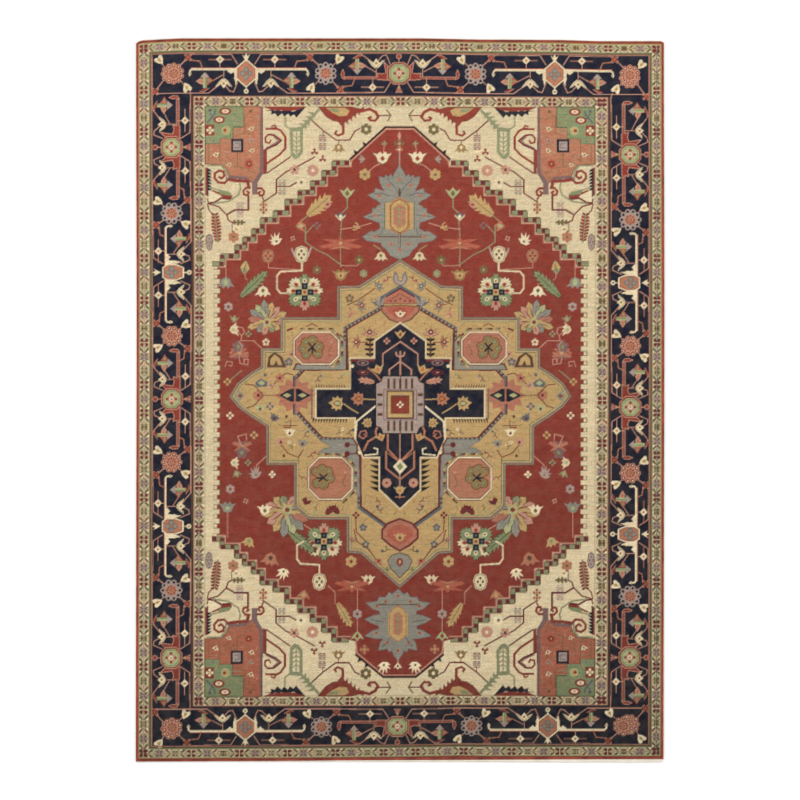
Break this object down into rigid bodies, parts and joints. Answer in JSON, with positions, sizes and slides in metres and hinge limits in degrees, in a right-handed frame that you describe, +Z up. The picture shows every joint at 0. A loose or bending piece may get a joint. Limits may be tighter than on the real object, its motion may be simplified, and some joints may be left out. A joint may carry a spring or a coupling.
{
  "type": "area rug",
  "caption": "Large rectangular hand-knotted wool pile rug with a stepped centre medallion, cream corner pieces, a navy main border between pale guard borders, bound sides and hemmed ends.",
  "frame": {"origin": "On the floor under the centre of the rug's bounding box.", "axes": "+X across the rug's width to the right of the pattern as seen from above, +Y along its length to the top end of the pattern, +Z up out of the pile."},
  "size_m": [2.69, 3.692, 0.011],
  "materials": {
    "cotton": "matt undyed cotton yarn",
    "brick_wool": "matt wool, brick red",
    "navy_wool": "matt wool, blue-black",
    "straw_wool": "matt wool, pale straw"
  },
  "bodies": {
    "root": {"edge_cord_left": "cotton", "edge_cord_right": "cotton", "end_band_bottom": "brick_wool", "end_band_top": "brick_wool", "field_pile": "brick_wool", "ground_weave": "cotton", "hem_bottom": "cotton", "hem_top": "cotton", "inner_guard_bottom": "straw_wool", "inner_guard_left": "straw_wool", "inner_guard_right": "straw_wool", "inner_guard_top": "straw_wool", "main_border_bottom": "navy_wool", "main_border_left": "navy_wool", "main_border_right": "navy_wool", "main_border_top": "navy_wool", "outer_guard_bottom": "straw_wool", "outer_guard_left": "straw_wool", "outer_guard_right": "straw_wool", "outer_guard_top": "straw_wool", "side_binding_left": "brick_wool", "side_binding_right": "brick_wool"}
  },
  "joints": []
}
